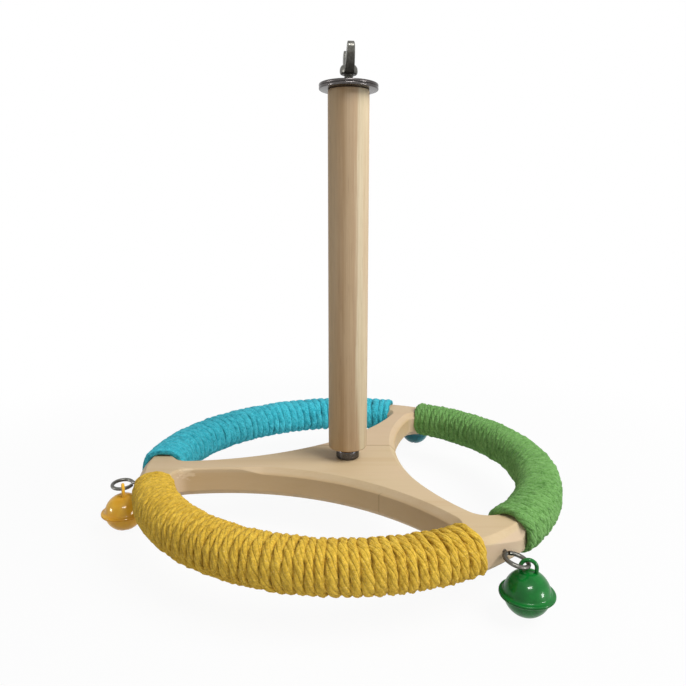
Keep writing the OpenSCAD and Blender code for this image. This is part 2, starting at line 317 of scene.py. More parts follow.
class Finish:
    """A material with one Principled shader. Constant values are set on the shader's own sockets."""

    def __init__(self, name, **constants):
        self.material = bpy.data.materials.new(name)
        self.material.use_nodes = True
        self.tree = self.material.node_tree
        self.shader = self.tree.nodes["Principled BSDF"]
        for key, value in constants.items():
            self.shader.inputs[key.replace("_", " ")].default_value = value
        source = self.tree.nodes.new("ShaderNodeTexCoord")
        self.place = Sock(self.tree, source.outputs["Object"])

    def attribute(self, name):
        node = self.tree.nodes.new("ShaderNodeAttribute")
        node.attribute_name = name
        return Sock(self.tree, node.outputs["Vector"])

    def feed(self, **sockets):
        for key, value in sockets.items():
            self.tree.links.new(value.socket, self.shader.inputs[key.replace("_", " ")])
        return self.material


def post_wood():
    """Turned softwood: broad growth layers across X that run along the post in a slight bow; the pale cream
    on the +X side is partly painted light.
    """
    finish = Finish("post_wood", Specular_IOR_Level=0.35)
    place = finish.place
    wobble_reach = 1.6 * MM
    streak_reach = 9 * MM
    bow_reach = 1.5 * MM
    bow_ends = 0.4 * MM
    wobble = place.stretched(30, 30, 6).noise(1.0, 2.0) - 0.5
    streak = place.stretched(420, 420, 16).noise(1.0, 4.0, 0.6) - 0.5
    level = place.part("Z") / (post_high.z - post_low.z) * 2 + 1
    bow = (1 - level * level) * bow_reach - bow_ends
    across = place.part("X") + wobble * wobble_reach + streak * streak_reach + bow
    layers = across / (2 * POST_R) + 0.5
    # Growth-layer tones across X. The pale cream stops near +X are partly painted light, for the side that
    # the key lamp falls on.
    tone = layers.ramp((0.0, rgb(182, 154, 120)), (0.14, rgb(196, 169, 129)), (0.26, rgb(187, 158, 118)),
                       (0.36, rgb(177, 145, 106)), (0.48, rgb(198, 172, 137)), (0.6, rgb(190, 164, 130)),
                       (0.69, rgb(180, 150, 116)), (0.77, rgb(212, 198, 167)), (0.9, rgb(214, 198, 166)),
                       (1.0, rgb(204, 180, 148)))
    fibre = place.stretched(1500, 1500, 30).noise(1.0, 4.0, 0.6)
    broad = place.stretched(240, 240, 7).noise(1.0, 2.0)
    shade = (fibre * 0.5 + broad * 0.5).above(0.3, 0.7)
    colour = shade.shading(tone, rgb(222, 212, 198), 0.55)
    pores = place.stretched(2600, 2600, 90).noise(1.0, 2.0).above(0.62, 0.72)
    flecked = (pores * 0.3).mixed(colour, rgb(140, 108, 74))
    height = fibre * 0.6 - pores * 0.8
    return finish.feed(Base_Color=flecked, Roughness=0.5 + shade * 0.12,
                       Normal=height.bump(GRAIN_DEPTH, GRAIN_STRENGTH))


def board_wood():
    """Edge-glued softwood strips with their grain along X, and a rubbed raw place on one spoke."""
    finish = Finish("wheel_wood", Specular_IOR_Level=0.3)
    place = finish.place
    y = place.part("Y")
    seam_back = 19.5 * MM
    seam_front = -45.2 * MM
    seam_edge = 0.05 * MM
    top_fade = (HUB_MID + 5 * MM, HUB_MID + 6.5 * MM)
    end_fade = (90 * MM, 100 * MM)
    raw_place = (-91 * MM, -19.5 * MM, HUB_MID + 6.7 * MM)
    raw_fade = (2 * MM, 5 * MM)
    raw_ragged = 12 * MM
    glue_back_fade = (0.2 * MM, 1.5 * MM)
    glue_front_fade = (0.1 * MM, 0.35 * MM)
    back = y.above(seam_back - seam_edge, seam_back + seam_edge)
    front = 1 - y.above(seam_front - seam_edge, seam_front + seam_edge)
    shift_x = back * 0.37 + front * 0.81
    shift_y = back * 0.05 - front * 0.03
    strip = place.make("CombineXYZ", {}, {0: shift_x, 1: shift_y, 2: 0.0})
    own = place.make("VectorMath", {"operation": "ADD"}, {0: place, 1: strip})
    streak = own.stretched(5, 90, 110).noise(1.0, 3.0, 0.55)
    fibre = own.stretched(26, 1500, 1500).noise(1.0, 4.0, 0.6)
    broad = own.stretched(14, 30, 30).noise(1.0, 2.0)
    tone = streak.ramp((0.3, rgb(205, 179, 140)), (0.46, rgb(210, 187, 150)),
                       (0.6, rgb(212, 190, 154)), (0.75, rgb(207, 182, 144)))
    pink = (back * 0.35 + broad.above(0.45, 0.7) * 0.35).mixed(tone, rgb(213, 185, 155))
    shade = (fibre * 0.65 + broad * 0.35).above(0.3, 0.7)
    colour = shade.shading(pink, rgb(226, 216, 200), 0.22)
    glue_back = 1 - abs(y - seam_back).above(*glue_back_fade)
    below_top = 1 - place.part("Z").above(*top_fade)
    glue_front = (1 - abs(y - seam_front).above(*glue_front_fade)) * below_top
    end = place.radius().above(*end_fade)
    # Painted shade: the side faces below the top, away from the rim's ends, are painted a darker, warmer
    # brown for the shade and warm bounce light they get.
    side_shaded = (below_top * (1 - end) * 0.5).mixed(colour, rgb(200, 168, 120))
    sided = (below_top * end * 0.5).mixed(side_shaded, rgb(208, 182, 158))
    glued = (glue_back * 0.4 + glue_front * 0.3).mixed(sided, rgb(140, 105, 70))
    away = place.make("VectorMath", {"operation": "DISTANCE"}, {0: place, 1: raw_place}, 1)
    ragged = place.stretched(180, 700, 700).noise(1.0, 3.0)
    raw = 1 - (away + (ragged - 0.5) * raw_ragged).above(*raw_fade)
    worn = (raw * 0.55).mixed(glued, rgb(238, 220, 190))
    height = fibre * 0.5 - (glue_back + glue_front) * 0.6 + raw * ragged * 2.0
    return finish.feed(Base_Color=worn, Roughness=0.5 + shade * 0.12,
                       Normal=height.bump(GRAIN_DEPTH, GRAIN_STRENGTH))


def rope_dye(colour, bright, deep, sheen=0.2, gap_shade=0.35):
    """Dyed fluffy rope. The attribute lay holds the place round the strands and along them, in metres.

    The attribute crown is 1 on top of a turn and less towards the gaps between turns, which are darkened
    with painted shade.
    """
    pale = toned(bright, 0.8, 0.2)
    dark = toned(deep, 0.5)
    fluff_depth = 0.7 * MM
    fluff_strength = 0.7
    finish = Finish("rope_" + colour, Sheen_Weight=sheen, Sheen_Roughness=0.6, Sheen_Tint=pale,
                    Specular_IOR_Level=0.08)
    place = finish.place
    lay = finish.attribute("lay")
    fibre = lay.stretched(1300, 1300, 240).noise(1.0, 3.0, 0.6) - 0.5
    around = lay.math("ARCTAN2", lay.part("Y"), lay.part("X")) * (ROPE_STRANDS / 2)
    depth = STRAND_GROOVE[colour] / STRAND_GROOVE["yellow"]
    groove = (1 - abs(around.sin()).above(0.05, 0.55)) * depth
    gap = 1 - finish.attribute("crown").part("X").above(0.5, 0.82)
    fluff = place.noise(1000, 3.0, 0.6) - 0.5
    mottle = place.noise(380, 2.0) - 0.5
    patch = place.noise(60, 2.0) - 0.5
    fleck = place.noise(1700, 2.0).above(0.6, 0.7)
    pit = place.noise(850, 3.0, 0.6).above(0.6, 0.7)
    share = fluff * 1.5 + mottle * 1.2 + patch * 0.6 + fibre * 1.2 + 0.55
    dyed = share.mixed(deep, bright)
    # Painted shade in the strand grooves and the gaps between turns, mixed with random dark pits.
    pitted_and_shaded = (pit * 0.45 + groove * 0.2 + gap * (mottle * 2 + gap_shade)).mixed(dyed, dark)
    flecked = (fleck * 0.45).mixed(pitted_and_shaded, pale)
    height = fluff + fibre * 0.5 + mottle * 0.5 - pit * 0.3 - groove * 0.4
    return finish.feed(Base_Color=flecked, Roughness=0.85 + fibre * 0.2,
                       Normal=height.bump(fluff_depth, fluff_strength))


def zinc_steel(name, tint, rough):
    """Zinc plated steel, a little dull and stained."""
    stain_depth = 0.04 * MM
    finish = Finish(name, Metallic=1.0)
    place = finish.place
    cloud = place.noise(900, 4.0)
    spots = place.noise(3500, 2.0).above(0.6, 0.7)
    colour = cloud.above(0.35, 0.7).mixed(tint, toned(tint, 1.35))
    stained = (spots * 0.4).mixed(colour, rgb(92, 82, 74))
    return finish.feed(Base_Color=stained, Roughness=rough + cloud * 0.2 + spots * 0.1,
                       Normal=cloud.bump(stain_depth, 0.25))


def bell_paint(colour, bright, deep):
    """Gloss paint over pressed steel, with a slight orange peel."""
    peel_depth = 0.05 * MM
    finish = Finish("bell_" + colour, Specular_IOR_Level=0.1, Coat_Roughness=0.03, Coat_IOR=1.5)
    place = finish.place
    cloud = place.noise(160, 3.0)
    peel = place.noise(1300, 1.0)
    colour_mix = cloud.above(0.35, 0.65).mixed(deep, bright)
    return finish.feed(Base_Color=colour_mix, Roughness=0.3 + cloud * 0.12, Coat_Weight=0.3 + cloud * 0.1,
                       Normal=peel.bump(peel_depth, 0.12))


def verts_in(geom):
    return [g for g in geom if isinstance(g, bmesh.types.BMVert)]


def arc(bm, vert, centre, axis, angle, steps):
    """Sweeps a vertex round a centre and gives the last vertex of the arc."""
    made = bmesh.ops.spin(bm, geom=[vert], cent=centre, axis=axis, angle=angle, steps=steps)
    return verts_in(made["geom_last"])[0]


def line(bm, vert, to):
    """Draws an edge from a vertex to a point and gives the new vertex."""
    new = bmesh.ops.extrude_vert_indiv(bm, verts=[vert])["verts"][0]
    new.co = to
    return new


def weld(bm):
    bmesh.ops.remove_doubles(bm, verts=bm.verts[:], dist=WELD_GAP)
    bmesh.ops.recalc_face_normals(bm, faces=bm.faces[:])


def spun(bm, steps):
    """Turns a profile in the XZ plane round the Z axis."""
    bmesh.ops.spin(bm, geom=bm.verts[:] + bm.edges[:], cent=ORIGIN, axis=UP, angle=FULL_TURN, steps=steps,
                   use_merge=True)
    weld(bm)


def rod(radius, length, sides):
    """A closed cylinder along Z, round the origin."""
    bm = bmesh.new()
    bmesh.ops.create_cone(bm, cap_ends=True, segments=sides, radius1=radius, radius2=radius, depth=length)
    return bm


def moved(bm, matrix):
    bmesh.ops.transform(bm, matrix=matrix, verts=bm.verts[:])


def turn_to(angle):
    """The signed turn of that size that is shorter than half a circle."""
    return (angle + math.pi) % FULL_TURN - math.pi


def new_object(name, data):
    obj = bpy.data.objects.new(name, data)
    bpy.context.scene.collection.objects.link(obj)
    return obj


def in_order(elements, place):
    """Sorts vertices or faces by their places, so that each run gives the same mesh."""
    for i, element in enumerate(sorted(elements, key=lambda e: place(e).to_tuple(PLACE_DIGITS))):
        element.index = i
    elements.sort()


def mesh_of(bm, name):
    in_order(bm.verts, lambda v: v.co)
    in_order(bm.faces, lambda f: f.calc_center_median())
    mesh = bpy.data.meshes.new(name)
    bm.to_mesh(mesh)
    bm.free()
    return mesh


def baked(obj):
    """The object's mesh with its modifiers applied. The object itself is removed."""
    shaped = obj.evaluated_get(bpy.context.evaluated_depsgraph_get())
    mesh = bpy.data.meshes.new_from_object(shaped)
    bpy.data.objects.remove(obj)
    return mesh


def tube(name, places, radius, resolution, caps):
    """A round tube along a line of places."""
    curve = bpy.data.curves.new(name, "CURVE")
    curve.dimensions = "3D"
    curve.twist_mode = "MINIMUM"
    curve.bevel_depth = radius
    curve.bevel_resolution = resolution
    curve.use_fill_caps = caps
    spline = curve.splines.new("POLY")
    spline.points.add(len(places) - 1)
    for point, place in zip(spline.points, places):
        point.co = (*place, 1)
    return baked(new_object(name, curve))


def piece(name, mesh, material, body, slot, *nodes, sharp=40):
    """A finished piece that rides on a body and stands for solids."""
    mesh.materials.clear()
    mesh.materials.append(material)
    mesh.shade_smooth()
    mesh.set_sharp_from_angle(angle=math.radians(sharp))
    obj = new_object(name, mesh)
    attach(obj, body)
    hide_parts(*nodes)
    return obj


def cut_out(mesh, cutters):
    """The mesh with closed cutter meshes taken away."""
    obj = new_object("blank", mesh)
    tools = [new_object("cutter", cutter) for cutter in cutters]
    for tool in tools:
        change = obj.modifiers.new("cut", "BOOLEAN")
        change.operation = "DIFFERENCE"
        change.solver = "EXACT"
        change.object = tool
    result = baked(obj)
    for tool in tools:
        bpy.data.objects.remove(tool)
    return result


def board_sector(bm):
    """The outline of one third of the board, with its spoke along +X, as one face."""
    gap_steps = 40
    fillet_steps = 10
    inner_steps = 30
    outer_steps = 90
    bore_steps = 16
    half = SPOKE_STEP / 2
    gap_c = (HUB_R - SPOKE_W / 2) / (1 - math.sin(half))
    gap_r = gap_c - HUB_R
    reach_rim = RIM_IN - CORNER_R
    reach_gap = gap_r - CORNER_R
    along = (reach_rim ** 2 - reach_gap ** 2 + gap_c ** 2) / (2 * gap_c)
    aside = math.sqrt(reach_rim ** 2 - along ** 2)

    def polar(radius, angle):
        return Vector((radius * math.cos(angle), radius * math.sin(angle), 0))

    corner_turn = half - math.atan2(aside, along)
    gap_turn = turn_to(math.atan2(aside, along - gap_c) - math.pi)
    fillet_turn = math.atan2(aside, along) - math.atan2(aside, along - gap_c)
    vert = bm.verts.new(polar(BORE_R, -half))
    vert = line(bm, vert, polar(HUB_R, -half))
    vert = arc(bm, vert, polar(gap_c, -half), UP, gap_turn, gap_steps)
    vert = arc(bm, vert, polar(reach_rim, -corner_turn), UP, fillet_turn, fillet_steps)
    vert = arc(bm, vert, ORIGIN, UP, corner_turn - half, inner_steps)
    vert = line(bm, vert, polar(RIM_OUT, -half))
    vert = arc(bm, vert, ORIGIN, UP, 2 * half, outer_steps)
    vert = line(bm, vert, polar(RIM_IN, half))
    vert = arc(bm, vert, ORIGIN, UP, corner_turn - half, inner_steps)
    vert = arc(bm, vert, polar(reach_rim, corner_turn), UP, fillet_turn, fillet_steps)
    vert = arc(bm, vert, polar(gap_c, half), UP, gap_turn, gap_steps)
    vert = line(bm, vert, polar(BORE_R, half))
    arc(bm, vert, ORIGIN, UP, -2 * half, bore_steps)
    bmesh.ops.remove_doubles(bm, verts=bm.verts[:], dist=WELD_GAP)
    bmesh.ops.contextual_create(bm, geom=bm.edges[:])


def uneven_easing(bm):
    """The hand-sanded places: one spoke's front edge is left crisp, and one spoke's end is aslant."""
    crisp_turn = SPOKE_STEP
    slant_turn = 2 * SPOKE_STEP
    crisp = Vector((math.cos(crisp_turn), math.sin(crisp_turn)))
    slant = Vector((math.cos(slant_turn), math.sin(slant_turn)))
    across = Vector((-slant.y, slant.x))
    crisp_from = 50 * MM
    crisp_fade = 12 * MM
    crisp_share = 0.75
    slant_half = 16 * MM
    slant_drop = 4 * MM
    slant_fall = 0.24
    near = 0.1 * MM
    for edge in bm.edges:
        low, high = sorted(edge.verts, key=lambda v: v.co.z)
        at_top = abs(high.co.z - BOARD_T) < HAIR
        eased = at_top and abs(high.co.z - low.co.z - EDGE_EASE) < HAIR
        radius = low.co.xy.length
        aside = low.co.xy.dot(across)
        if eased and radius < RIM_IN + near and crisp.cross(low.co.xy) > 0:
            share = crisp_share * min(max((low.co.xy.dot(crisp) - crisp_from) / crisp_fade, 0), 1)
            high.co.xy += (low.co.xy - high.co.xy) * share
            low.co.z += EDGE_EASE * share
        elif eased and radius > RIM_OUT - near and low.co.xy.dot(slant) > 0 and abs(aside) < slant_half:
            low.co.z = BOARD_T - slant_drop - aside * slant_fall


def wheel_board(material):
    """Hub, spokes and rim in one board. The angle between faces tells a square edge from an eased one."""
    square_from = 1.0
    eased_from = 0.6
    bm = bmesh.new()
    board_sector(bm)
    sector = bm.verts[:] + bm.edges[:] + bm.faces[:]
    for k in range(1, len(COLOURS)):
        copy = bmesh.ops.duplicate(bm, geom=sector)["geom"]
        turn = Matrix.Rotation(SPOKE_STEP * k, 3, "Z")
        bmesh.ops.rotate(bm, cent=ORIGIN, matrix=turn, verts=verts_in(copy))
    bmesh.ops.remove_doubles(bm, verts=bm.verts[:], dist=WELD_GAP)
    raised = bmesh.ops.extrude_face_region(bm, geom=bm.faces[:], use_keep_orig=True)["geom"]
    bmesh.ops.translate(bm, vec=(0, 0, BOARD_T), verts=verts_in(raised))
    weld(bm)

    def outline(edge):
        a, b = edge.verts
        level = abs(a.co.z - b.co.z) < HAIR
        outside = max(a.co.xy.length, b.co.xy.length) > 2 * BORE_R
        return level and outside and edge.calc_face_angle(0) > square_from

    ease = [e for e in bm.edges if outline(e)]
    bmesh.ops.bevel(bm, geom=ease, offset=EDGE_EASE, affect="EDGES", segments=1, profile=0.5, material=-1)
    rims = [e for e in bm.edges if eased_from < e.calc_face_angle(0) < square_from]
    uneven_easing(bm)
    bmesh.ops.bevel(bm, geom=rims, offset=EDGE_SOFT, affect="EDGES", segments=2, profile=0.5, material=-1)
    moved(bm, Matrix.Translation((0, 0, HUB_MID - BOARD_T / 2)) @ Matrix.Rotation(SPOKE_TURN, 4, "Z"))
    mesh = mesh_of(bm, "wheel_board")
    obj = piece("wheel_board", mesh, material, "wheel", "wheel_wood", "wheel_frame", sharp=50)
    flat = obj.modifiers.new("flat_faces", "WEIGHTED_NORMAL")
    flat.keep_sharp = True
    flat.weight = 100


def rope_line(k):
    """Points of the rope's middle line from the land of spoke k to the next, and the mean angle of a turn.

    Each point comes with the rope's length so far and the width of its turn, as a share of the mean.
    """
    dice = random.Random(ROPE_SEED + k)

    def waves(slow, fast):
        return [(dice.uniform(slow, fast), dice.uniform(0, FULL_TURN), dice.uniform(-1, 1))
                for _ in range(ROPE_WAVES)]

    sway = waves(*SWAY_PER_TURN)
    lift = waves(*LIFT_PER_TURN)
    turns = ROPE_TURNS[COLOURS[k]]
    first_bare, last_bare = ROPE_BARE[COLOURS[k]]
    start = SPOKE_TURN + SPOKE_STEP * k + (first_bare + ROPE_R) / RING_R
    span = SPOKE_STEP - (first_bare + last_bare + 2 * ROPE_R) / RING_R
    step = span / turns

    def bent(value, power):
        return math.copysign(abs(value) ** (2 / power), value)

    points = []
    length = 0.0
    for i in range(turns * RINGS_PER_TURN + 1):
        turn = i / RINGS_PER_TURN
        round_rim = -QUARTER_TURN - FULL_TURN * turn
        ahead = sum(a / (FULL_TURN * f) * math.sin(FULL_TURN * f * turn + p) for f, p, a in sway)
        width = sum(a * math.cos(FULL_TURN * f * turn + p) for f, p, a in sway)
        swell = sum(a * math.sin(FULL_TURN * f * turn + p) for f, p, a in lift) * ROPE_SWELL
        near_end = min(turn, turns - turn)
        tight = ROPE_TIGHT[COLOURS[k]] * max(0.0, 1 - turn / TIGHT_TURNS) ** 2
        sunk = TUCK_DEPTH * max(0.0, 1 - near_end / TUCK_TURNS) + WOUND_WIDE * tight
        tall, power = (WOUND_UP, TOP_POWER) if math.sin(round_rim) > 0 else (WOUND_DOWN, BOTTOM_POWER)
        out = RING_R + (WOUND_WIDE - ROPE_CROWN + swell - sunk) * bent(math.cos(round_rim), power)
        high = (tall - ROPE_CROWN + swell - sunk) * bent(math.sin(round_rim), power)
        angle = start + step * (turn + ROPE_UNEVEN * ahead)
        place = Vector((out * math.cos(angle), out * math.sin(angle), HUB_MID + high))
        if points:
            length += (place - points[-1][0]).length
        points.append((place, length, 1 + ROPE_UNEVEN * width))
    return points, step


def felted(ring, middle, room, twist, groove):
    """Places of one ring of the tube: twisted strands, pressed between the next turns and flat on the wood.

    Each place comes with its angle from the crown of the turn.
    """
    elsewhere = Vector((7, 3, 5))
    outward = Vector((middle.x, middle.y, 0)).normalized()
    along = UP.cross(outward)
    off_wood = (outward * (middle.xy.length - RING_R) + UP * (middle.z - HUB_MID)).normalized()
    sway = SWAY * noise.noise(middle / SWAY_SIZE)
    swell = SWELL * noise.noise(middle / SWELL_SIZE + elsewhere)
    press = room * (1 + PRESS * noise.noise(middle / PRESS_SIZE - elsewhere))
    for place in ring:
        offset = place - middle
        angle = math.atan2(offset.dot(along), offset.dot(off_wood))
        angle -= CROWN_SHARE * math.sin(angle)
        strand = abs(math.sin(ROPE_STRANDS / 2 * (angle - twist)))
        fat = 1 + groove * (strand - STRAND_MEAN)
        aside = press * fat * math.sin(angle) + sway
        height = fat * math.cos(angle)
        spot = middle + along * aside + off_wood * height * (ROPE_CROWN if height > 0 else ROPE_SEAT)
        if height > 0:
            lump = LUMP * noise.noise(spot / LUMP_SIZE) + NUB * noise.noise(spot / NUB_SIZE + elsewhere)
            spot += off_wood * (lump + swell)
        yield spot, angle


def rope(k, material):
    """One winding: a tube along the rope's line, whose rings are then pressed and felted."""
    colour = COLOURS[k]
    name = "rope_" + colour
    points, step = rope_line(k)
    mesh = tube(name, [place for place, _, _ in points], ROPE_R, ROPE_SIDES // 2 - 2, False)
    places = []
    lays = []
    crowns = []
    for i, (middle, length, width) in enumerate(points):
        ring = [v.co for v in mesh.vertices[i * ROPE_SIDES:(i + 1) * ROPE_SIDES]]
        room = step * width * middle.xy.length / 2 * ROPE_OVERLAP[colour]
        twist = FULL_TURN * length / ROPE_LAY
        for place, angle in felted(ring, middle, room, twist, STRAND_GROOVE[colour]):
            places.extend(place)
            lays.extend((ROPE_R * math.cos(angle - twist), ROPE_R * math.sin(angle - twist), length))
            crowns.append(math.cos(angle))
    mesh.vertices.foreach_set("co", places)
    lay = mesh.attributes.new("lay", "FLOAT_VECTOR", "POINT")
    lay.data.foreach_set("vector", lays)
    crown = mesh.attributes.new("crown", "FLOAT", "POINT")
    crown.data.foreach_set("value", crowns)
    bm = bmesh.new()
    bm.from_mesh(mesh)
    bmesh.ops.holes_fill(bm, edges=[e for e in bm.edges if e.is_boundary])
    bm.to_mesh(mesh)
    bm.free()
    piece(name + "_winding", mesh, material, "wheel", name, name, sharp=180)


def eye_frame(k):
    """From a screw eye's own axes, with +X out along its screw, to the part's frame."""
    colour = COLOURS[k]
    spoke = Matrix.Rotation(SPOKE_TURN + SPOKE_STEP * k, 4, "Z")
    lean = Matrix.Rotation(EYE_DROOP[colour], 4, "Y") @ Matrix.Rotation(-EYE_TWIST[colour], 4, "X")
    foot = Matrix.Translation((RIM_OUT, 0, 0)) @ lean
    return Matrix.Translation((0, 0, HUB_MID + EYE_LIFT[colour])) @ spoke @ foot


def screw_eye(k, material):
    """Wire that leaves the wood, bends aside and closes in a ring against its own neck."""
    reach = EYE_REACH[COLOURS[k]]
    open_at = math.radians(213)
    closed_at = math.radians(525)
    ring_steps = 60
    bend_steps = 10
    wire_resolution = 5
    foot_out = 0.4 * MM
    bend = 0.27 * reach
    lead_share = 0.6
    foot = Vector((foot_out, 0, 0))
    start = Vector((reach + EYE_R * math.cos(open_at), EYE_R * math.sin(open_at), 0))
    heading = Vector((-math.sin(open_at), math.cos(open_at), 0))
    pull = foot + Vector((bend, 0, 0))
    lead = start - heading * bend * lead_share
    places = [Vector((-EYE_EMBED, 0, 0)), foot]
    for i in range(1, bend_steps + 1):
        t = i / bend_steps
        near = (1 - t) ** 3 * foot + 3 * t * (1 - t) ** 2 * pull
        places.append(near + 3 * t * t * (1 - t) * lead + t ** 3 * start)
    for i in range(1, ring_steps + 1):
        angle = open_at + (closed_at - open_at) * i / ring_steps
        places.append(Vector((reach + EYE_R * math.cos(angle), EYE_R * math.sin(angle), 0)))
    name = "eye_" + COLOURS[k]
    own = eye_frame(k)
    mesh = tube(name, [own @ place for place in places], EYE_WIRE_R, wire_resolution, True)
    piece(name + "_wire", mesh, material, "wheel", "zinc_steel", name, sharp=60)


def bell_half():
    """One pressed half above the seam, turned from its profile: dome, neck, lip and the inside."""
    bm = bmesh.new()
    neck_z = LIP_T + NECK_R
    neck_x = math.sqrt((BELL_R + NECK_R) ** 2 - neck_z ** 2)
    lean = math.atan2(neck_x, neck_z)
    tip = 0.6 * MM
    seam_in = 0.25 * MM
    dome_steps = 26
    neck_steps = 6
    inside_steps = 20
    vert = bm.verts.new((0, 0, BELL_R))
    vert = arc(bm, vert, ORIGIN, SIDEWAYS, lean, dome_steps)
    vert = arc(bm, vert, (neck_x, 0, neck_z), SIDEWAYS, -lean, neck_steps)
    vert = line(bm, vert, (FLANGE_R - tip, 0, LIP_T))
    vert = arc(bm, vert, (FLANGE_R - tip, 0, LIP_T - tip), SIDEWAYS, QUARTER_TURN, ROUND_STEPS)
    vert = line(bm, vert, (FLANGE_R - seam_in, 0, 0))
    vert = line(bm, vert, (BELL_R - BELL_WALL, 0, 0))
    arc(bm, vert, ORIGIN, SIDEWAYS, -QUARTER_TURN, inside_steps)
    spun(bm, WIDE_STEPS)
    return bm


def slot_cutters(place):
    """Two crossed slots with round ends through the bottom of a bell."""
    meshes = []
    deep = BELL_R
    middle_z = -deep / 2 - SLOT_BELOW_SEAM
    for turn in (0, QUARTER_TURN):
        slot = bmesh.new()
        bmesh.ops.create_cube(slot, size=1)
        bmesh.ops.scale(slot, vec=(SLOT_LEN, SLOT_W, deep), verts=slot.verts[:])
        bmesh.ops.translate(slot, vec=(0, 0, middle_z), verts=slot.verts[:])
        cutters = [slot]
        for end in (-1, 1):
            hole = rod(SLOT_END_R, deep, SLOT_STEPS)
            bmesh.ops.translate(hole, vec=(end * SLOT_LEN / 2, 0, middle_z), verts=hole.verts[:])
            cutters.append(hole)
        for cutter in cutters:
            moved(cutter, place @ Matrix.Rotation(turn, 4, "Z"))
            meshes.append(mesh_of(cutter, "slot"))
    return meshes


def bell(colour, material):
    """Cap and cup of one bell, which hang where the solids have them."""
    roll = joints["pellet_%s_roll" % colour]
    hang = math.atan2(-roll["axis"][0], roll["axis"][1])
    place = Matrix.Translation(roll["pos_m"]) @ Matrix.Rotation(hang, 4, "Z")
    slot = "bell_" + colour
    cap = bell_half()
    moved(cap, place)
    piece("cap_" + colour, mesh_of(cap, "cap"), material, slot, slot, "bell_cap_" + colour, sharp=35)
    cup = bell_half()
    bmesh.ops.scale(cup, vec=(1, 1, -1), verts=cup.verts[:])
    bmesh.ops.recalc_face_normals(cup, faces=cup.faces[:])
    moved(cup, place)
    mesh = cut_out(mesh_of(cup, "cup"), slot_cutters(place))
    piece("cup_" + colour, mesh, material, slot, slot, "bell_cup_" + colour, sharp=35)


def flat_ring(outer, inner, low, high, soft, steps):
    """A turned ring with softened edges."""
    bm = bmesh.new()
    first = bm.verts.new((inner, 0, low))
    vert = line(bm, first, (outer - soft, 0, low))
    vert = arc(bm, vert, (outer - soft, 0, low + soft), SIDEWAYS, -QUARTER_TURN, EDGE_STEPS)
    vert = line(bm, vert, (outer, 0, high - soft))
    vert = arc(bm, vert, (outer - soft, 0, high - soft), SIDEWAYS, -QUARTER_TURN, EDGE_STEPS)
    vert = line(bm, vert, (inner, 0, high))
    bm.edges.new((vert, first))
    spun(bm, steps)
    return bm


def washers(material):
    low = flat_ring(WASHER_R, WASHER_HOLE_R, -WASHER_T, 0, WASHER_SOFT, WIDE_STEPS)
    piece("washer_low", mesh_of(low, "washer_low"), material, "post", "zinc_steel", "lower_washer")
    top = flat_ring(WASHER_R, WASHER_HOLE_R, 0, WASHER_T, WASHER_SOFT, WIDE_STEPS)
    piece("washer_top", mesh_of(top, "washer_top"), material, "clamp", "zinc_steel", "upper_washer")


def collar(material):
    """A turned collar with a narrower neck under the post."""
    neck_r = 4.7 * MM
    hole_r = 3.05 * MM
    neck_h = 1.6 * MM
    body_soft = 0.7 * MM
    neck_soft = 0.2 * MM
    shoulder = collar_high.z - neck_h
    body = flat_ring(collar_high.x, hole_r, collar_low.z, shoulder, body_soft, COLLAR_STEPS)
    neck = flat_ring(neck_r, hole_r, shoulder, collar_high.z, neck_soft, COLLAR_STEPS)
    neck.from_mesh(mesh_of(body, "collar"))
    piece("collar", mesh_of(neck, "collar"), material, "post", "zinc_steel", "pivot_collar")


def threaded_bolt(material):
    """A rod with a rolled thread where it shows, and a plain end inside the post."""
    start = -WASHER_T
    root_r = THREAD_R - THREAD_DEPTH
    core_r = root_r + 0.03 * MM
    plain_r = 2.45 * MM
    point_r = 1.2 * MM
    point_h = 2.5 * MM
    tip_r = 1.5 * MM
    tip_h = 0.5 * MM
    top_bare = 0.6 * MM
    turns = int((bolt_high.z - top_bare - start) / THREAD_PITCH)
    bm = bmesh.new()
    vert = None
    for radius, share in ((root_r, 0.0), (THREAD_R, 0.4), (THREAD_R, 0.6), (root_r, 1.0)):
        place = (radius, 0, start + THREAD_PITCH * share)
        vert = line(bm, vert, place) if vert else bm.verts.new(place)
    bmesh.ops.spin(bm, geom=bm.verts[:] + bm.edges[:], cent=ORIGIN, axis=UP, angle=FULL_TURN * turns,
                   steps=THREAD_STEPS * turns, dvec=(0, 0, THREAD_PITCH / THREAD_STEPS))
    weld(bm)
    core = bmesh.new()
    vert = core.verts.new((0, 0, bolt_low.z))
    for x, z in ((point_r, bolt_low.z), (plain_r, bolt_low.z + point_h), (plain_r, start), (core_r, start),
                 (core_r, bolt_high.z - tip_h), (tip_r, bolt_high.z), (0, bolt_high.z)):
        vert = line(core, vert, (x, 0, z))
    spun(core, NARROW_STEPS)
    core.from_mesh(mesh_of(bm, "thread"))
    piece("bolt", mesh_of(core, "bolt"), material, "post", "zinc_steel", "hanger_bolt", sharp=35)


